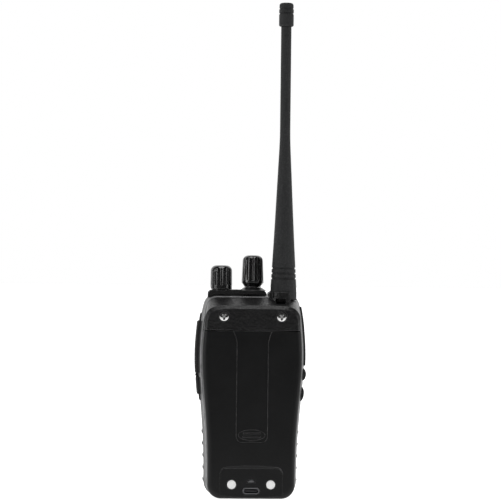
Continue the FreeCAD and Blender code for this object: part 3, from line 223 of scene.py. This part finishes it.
def rubbery(name, dark, light, rough_low, rough_high, grain_mm, depth, specular=0.35, sheen=0.05):
    """Matte rubber: dusty bloom, faint mould flow and a soft sheen."""
    graph = Graph(name)
    broad = graph.noise(RUBBER_TONE_MM, 5.0)
    fine = graph.noise(grain_mm, 3.0, 0.65)
    dust = graph.ramp(graph.noise(DUST_MM, 6.0, 0.7, shift=0.8), 0.48, 0.72, 0.0, 0.7)
    body = graph.blend(graph.spread(broad), dark, light)
    body = graph.blend(dust, body, tuple(min(1.0, c * 2.0) for c in light))
    rough = graph.spread(broad, rough_low, rough_high)
    normal = graph.bump(fine, depth, graph.rounded(RUBBER_EDGE_MM))
    graph.finish(Base_Color=body, Roughness=rough, Normal=normal)
    graph.shader.inputs["Specular IOR Level"].default_value = specular
    graph.shader.inputs["Sheen Weight"].default_value = sheen
    graph.shader.inputs["Sheen Roughness"].default_value = 0.5
    return graph.material


def metal(name, colour, rough_low, rough_high, grain_mm=0.5, depth=0.002, stretch=None, stain=0.25,
          metallic=1.0, shade_recesses=False):
    """Plated or bare metal with fine machining lines and a little tarnish; its recesses can be painted
    dark as shade.
    """
    graph = Graph(name)
    broad = graph.noise(STAIN_MM, 5.0)
    lines = graph.noise(grain_mm, 3.0, 0.6, stretch=stretch)
    stained = tuple(c * 0.45 for c in colour)
    body = graph.blend(graph.ramp(broad, 0.45, 0.85, 0.0, stain), colour, stained)
    # painted shade: recesses darkened by ambient occlusion
    if shade_recesses:
        body = graph.blend(graph.ramp(graph.hollows(RECESS_SHADE_REACH_MM), 0.50, 0.85), RECESS_PAINTED_SHADE, body)
    rough = graph.spread(lines, rough_low, rough_high)
    graph.finish(Base_Color=body, Roughness=rough, Normal=graph.bump(lines, depth))
    graph.shader.inputs["Metallic"].default_value = metallic
    return graph.material


def clear(name, tint, rough):
    """Clear moulded plastic."""
    graph = Graph(name)
    swirl = graph.noise(SWIRL_MM, 3.0)
    rough = graph.spread(swirl, rough, rough + 0.08)
    graph.finish(Base_Color=(*tint, 1.0), Roughness=rough, Normal=graph.bump(swirl, 0.004))
    graph.shader.inputs["Transmission Weight"].default_value = 0.85
    graph.shader.inputs["IOR"].default_value = 1.49
    return graph.material


def woven(name, colour):
    """Fine speaker cloth."""
    graph = Graph(name)
    weave = []
    for axis in (0, 2):
        split = graph.node("SeparateXYZ", Vector=graph.place)
        turns = graph.maths("MULTIPLY", split.outputs[axis], 2 * math.pi / (THREAD_MM * MM))
        weave.append(graph.maths("SINE", turns))
    cross = graph.maths("MULTIPLY", weave[0], weave[1])
    body = graph.blend(graph.ramp(cross, -1, 1), tuple(c * 0.4 for c in colour), colour)
    graph.finish(Base_Color=body, Roughness=0.95, Normal=graph.bump(cross, 0.05))
    return graph.material


# ------------------------------------------------------------------------------- materials
# the front case's rear lip, painted pale as a highlight along the parting line
CASE_LIP_PAINTED_HIGHLIGHT = ("Y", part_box("battery_cover")[0].y, 1.8 * MM, False, (0.28, 0.28, 0.285))
# the upper lip of the charging panel, painted pale as a highlight on its edges
PANEL_LIP_PAINTED_HIGHLIGHT = ("Z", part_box("charge_contacts")[1].z + 7.0 * MM, 4.0 * MM, True, (0.45, 0.45, 0.46))
# painted shade at the bottom of the screws' cross recesses
RECESS_PAINTED_SHADE = (0.02, 0.02, 0.02)

BATTERY = moulded("battery_skin", (0.0018, 0.0019, 0.0021), (0.0034, 0.0035, 0.0037), 0.36, 0.45,
                  0.8, 0.02, 1.0, specular=0.20, mottle=0.2, highlight_strip=PANEL_LIP_PAINTED_HIGHLIGHT)
CASE = moulded("case_skin", (0.0050, 0.0050, 0.0053), (0.0080, 0.0080, 0.0083), 0.26, 0.34,
               0.5, 0.006, 1.0, specular=0.5, highlight_strip=CASE_LIP_PAINTED_HIGHLIGHT)
CHASSIS = moulded("hood_paint", (0.0008, 0.0008, 0.0009), (0.0040, 0.0040, 0.0042), 0.32, 0.40,
                  1.0, 0.20, 1.0, specular=0.32, mottle=1.0)
TRIM = moulded("trim_skin", (0.0040, 0.0040, 0.0043), (0.0060, 0.0060, 0.0063), 0.26, 0.36,
               0.35, 0.004, 0.6, specular=0.4)
KNOB = moulded("knob_skin", (0.0030, 0.0030, 0.0032), (0.0045, 0.0045, 0.0048), 0.08, 0.14,
               0.5, 0.002, 0.3, specular=1.0, edge_mm=0.25)
KEYS = rubbery("key_rubber", (0.006, 0.006, 0.0064), (0.010, 0.010, 0.0104), 0.50, 0.62, 0.25, 0.008)
ANTENNA = rubbery("antenna_rubber_skin", (0.016, 0.0164, 0.017), (0.025, 0.0255, 0.0262), 0.66, 0.8,
                  0.9, 0.12, specular=0.25, sheen=0.0)
SEALS = rubbery("seal_rubber_skin", (0.03, 0.03, 0.032), (0.05, 0.05, 0.053), 0.6, 0.75, 0.3, 0.01)
SCREW = metal("screw_plate", (0.80, 0.80, 0.79), 0.06, 0.14, shade_recesses=True)
NICKEL = metal("nickel_plate", (0.78, 0.77, 0.75), 0.20, 0.34)
SHAFT = metal("shaft_turned", (0.66, 0.66, 0.67), 0.22, 0.4, 0.25, 0.004, (0.2, 0.2, 6))
CONTACT = metal("contact_plate", (0.86, 0.86, 0.85), 0.30, 0.45, 0.35, 0.006, metallic=0.35)
SHELL = metal("shell_steel", (0.24, 0.24, 0.25), 0.35, 0.5)
# painted shade: the antenna socket is coloured near black so that it shows as shade through the strap eye,
# not as lit brass
SOCKET_PAINTED_SHADE = metal("socket_painted_shade", (0.05, 0.045, 0.04), 0.35, 0.5)
GOLD = metal("gold_plate", (0.86, 0.64, 0.30), 0.16, 0.28)
COPPER = metal("copper_enamel", (0.75, 0.36, 0.20), 0.2, 0.3)
STEEL = metal("spring_wire", (0.58, 0.58, 0.60), 0.25, 0.4)
BOARD = moulded("board_mask", (0.02, 0.12, 0.05), (0.03, 0.17, 0.075), 0.25, 0.35, 0.8, 0.004, 0.1)
TIN = metal("tinned_sheet", (0.68, 0.69, 0.70), 0.25, 0.42)
BLACK_PART = moulded("component_black", (0.012, 0.012, 0.013), (0.02, 0.02, 0.022), 0.45, 0.6,
                     0.3, 0.004, 0.1)
FERRITE = moulded("ferrite", (0.07, 0.07, 0.075), (0.11, 0.11, 0.115), 0.5, 0.65, 0.3, 0.01, 0.1)
PAPER = moulded("cone_paper_skin", (0.03, 0.03, 0.03), (0.05, 0.05, 0.05), 0.8, 0.9, 0.4, 0.03, 0.0)
CLOTH = woven("grille_weave", (0.03, 0.03, 0.031))
PLATE = metal("name_plate_metal", (0.30, 0.31, 0.32), 0.26, 0.40, 0.2, 0.003, (0.15, 1, 4))
WRAP = metal("cell_wrap_foil", (0.55, 0.57, 0.60), 0.35, 0.5)
LENS = clear("lens_clear", (0.92, 0.95, 0.97), 0.03)
PIPE = moulded("pipe_frosted", (0.05, 0.05, 0.053), (0.07, 0.07, 0.073), 0.25, 0.35, 0.5, 0.002, 0.0)
LAMP = moulded("lamp_phosphor", (0.75, 0.70, 0.42), (0.85, 0.80, 0.55), 0.4, 0.5, 0.5, 0.004, 0.0)
MARK = moulded("mark_paint", (0.72, 0.72, 0.70), (0.82, 0.82, 0.80), 0.35, 0.45, 0.6, 0.003, 0.0)

FINISHES = {
    "case_black": CASE, "battery_black": BATTERY, "chassis_black": CHASSIS, "knob_black": KNOB,
    "key_black": KEYS, "latch_black": CASE, "antenna_rubber": ANTENNA, "seal_rubber": SEALS,
    "plated_steel": SCREW, "nickel": NICKEL, "shaft_metal": SHAFT, "gold_brass": GOLD,
    "copper_wire": COPPER, "spring_steel": STEEL, "board_green": BOARD, "shield_tin": TIN,
    "part_black": BLACK_PART, "microphone_metal": NICKEL, "magnet_grey": FERRITE, "cone_paper": PAPER,
    "grille_fabric": CLOTH, "plate_silver": PLATE, "cell_wrap": WRAP, "clear_lens": LENS,
    "lamp_white": LAMP, "pipe_smoke": PIPE, "mark_white": MARK,
}

# nodes whose finish differs from that of the rest of their slot
OWN_FINISHES = {"top_trim": TRIM, "charge_contacts": CONTACT, "usb_shell": SHELL, "antenna_socket": SOCKET_PAINTED_SHADE}


def dress_nodes():
    """Give each CAD node its own finish, or else the finish of its slot."""
    slots = {item["node"]: item["material_slot"] for item in frame["record"]["subparts"]}
    for name, item in nodes.items():
        finish = OWN_FINISHES.get(name, FINISHES[slots[name]])
        item.data.materials.clear()
        item.data.materials.append(finish)


# ------------------------------------------------------------------------------- studio
# radiance of the surroundings beyond the radio's front and on the side of its back, and the Y of the
# directions between which it falls from one to the other
WORLD_BRIGHT = 1.5
WORLD_DIM = 0.04
WORLD_BRIGHT_Y = -0.85
WORLD_DIM_Y = -0.05
# glow of the paper floor up to FLOOR_NEAR_Y metres, and beyond FLOOR_FAR_Y
FLOOR_BRIGHT = 0.7
FLOOR_DIM = 0.05
FLOOR_NEAR_Y = 0.04
FLOOR_FAR_Y = 0.20
# a hair below the radio's base
FLOOR_Z = -0.2 * MM
FLOOR_WIDTH = 12
PAPER_MOTTLE_MM = 60.0
# each light: name, place, the point it faces, width and height in metres, watts
LIGHTS = (
    ("left_box", (0.90, 0.36, 0.42), (0, 0, 0.42), 0.45, 0.60, 3.6),
    ("right_box", (-0.90, 0.36, 0.42), (0, 0, 0.42), 0.45, 0.60, 2.8),
    ("top_box", (0.0, 0.10, 1.1), (0, 0, 0.11), 0.7, 0.4, 3.6),
    ("high_box", (0.0, 0.50, 0.85), (0, 0, 0.10), 0.50, 0.10, 0.8),
)
# the camera looks at the middle of the radio's height; the picture's width is taken at that distance
CAMERA_TARGET = Vector((0.0011, 0, 0.1352))
CAMERA_DISTANCE = 1.05
CAMERA_YAW = math.radians(2.5)
CAMERA_ROLL = math.radians(0.65)
PICTURE_WIDTH = 0.2763
SENSOR_WIDTH_MM = 36.0


def floor():
    """White paper; what the radio sees of it is bright up to just behind its back, and dim further off."""
    bpy.ops.mesh.primitive_plane_add(size=FLOOR_WIDTH, location=(0, 0, FLOOR_Z))
    plane = bpy.context.object
    plane.name = "studio_floor"
    graph = Graph("floor_paper")
    mottled = graph.noise(PAPER_MOTTLE_MM, 3.0)
    body = graph.blend(graph.spread(mottled), (0.90, 0.90, 0.90), (0.94, 0.94, 0.94))
    split = graph.node("SeparateXYZ", Vector=graph.place)
    near = graph.ramp(split.outputs["Y"], FLOOR_NEAR_Y, FLOOR_FAR_Y, FLOOR_BRIGHT, FLOOR_DIM)
    seen = graph.node("LightPath").outputs["Is Camera Ray"]
    glow = graph.maths("MAXIMUM", near, seen)
    graph.finish(Base_Color=body, Roughness=0.9, Emission_Strength=glow)
    graph.shader.inputs["Emission Color"].default_value = (1, 1, 1, 1)
    plane.data.materials.append(graph.material)


def world():
    """White to the eye; to the radio, bright beyond its front and dim on the side of its back."""
    made = bpy.data.worlds.new("studio")
    bpy.context.scene.world = made
    made.use_nodes = True
    tree = made.node_tree
    tree.nodes.clear()
    out = tree.nodes.new("ShaderNodeOutputWorld")
    mix = tree.nodes.new("ShaderNodeMixShader")
    path = tree.nodes.new("ShaderNodeLightPath")
    seen = tree.nodes.new("ShaderNodeBackground")
    seen.inputs["Color"].default_value = (1, 1, 1, 1)
    seen.inputs["Strength"].default_value = 1.0
    lit = tree.nodes.new("ShaderNodeBackground")
    where = tree.nodes.new("ShaderNodeTexCoord")
    split = tree.nodes.new("ShaderNodeSeparateXYZ")
    side = tree.nodes.new("ShaderNodeMapRange")
    side.interpolation_type = "SMOOTHSTEP"
    side.inputs["From Min"].default_value = WORLD_DIM_Y
    side.inputs["From Max"].default_value = WORLD_BRIGHT_Y
    side.inputs["To Min"].default_value = WORLD_DIM
    side.inputs["To Max"].default_value = WORLD_BRIGHT
    lit.inputs["Color"].default_value = (1, 1, 1, 1)
    tree.links.new(where.outputs["Generated"], split.inputs[0])
    tree.links.new(split.outputs["Y"], side.inputs["Value"])
    tree.links.new(side.outputs["Result"], lit.inputs["Strength"])
    tree.links.new(path.outputs["Is Camera Ray"], mix.inputs["Fac"])
    tree.links.new(lit.outputs[0], mix.inputs[1])
    tree.links.new(seen.outputs[0], mix.inputs[2])
    tree.links.new(mix.outputs[0], out.inputs["Surface"])


def lights():
    """Soft boxes, which the camera doesn't see."""
    for name, place, look, width, height, watts in LIGHTS:
        data = bpy.data.lights.new(name, "AREA")
        data.shape = "RECTANGLE"
        data.size = width
        data.size_y = height
        data.energy = watts
        lamp = bpy.data.objects.new(name, data)
        bpy.context.collection.objects.link(lamp)
        lamp.location = place
        lamp.rotation_euler = (Vector(look) - Vector(place)).to_track_quat("-Z", "Y").to_euler()
        lamp.visible_camera = False


def camera():
    """Behind the radio, a little to its +X side, at the middle of its height, with a slight roll."""
    data = bpy.data.cameras.new("camera")
    data.sensor_width = SENSOR_WIDTH_MM
    data.lens = SENSOR_WIDTH_MM * CAMERA_DISTANCE / PICTURE_WIDTH
    data.clip_start = 0.05
    made = bpy.data.objects.new("camera", data)
    bpy.context.collection.objects.link(made)
    place = CAMERA_TARGET + CAMERA_DISTANCE * Vector((math.sin(CAMERA_YAW), math.cos(CAMERA_YAW), 0))
    aim = (CAMERA_TARGET - place).to_track_quat("-Z", "Y").to_matrix().to_4x4()
    made.matrix_world = Matrix.Translation(place) @ aim @ Matrix.Rotation(CAMERA_ROLL, 4, "Z")
    bpy.context.scene.camera = made


bpy.context.scene.view_settings.view_transform = "Standard"
dress_nodes()
floor()
world()
lights()
camera()
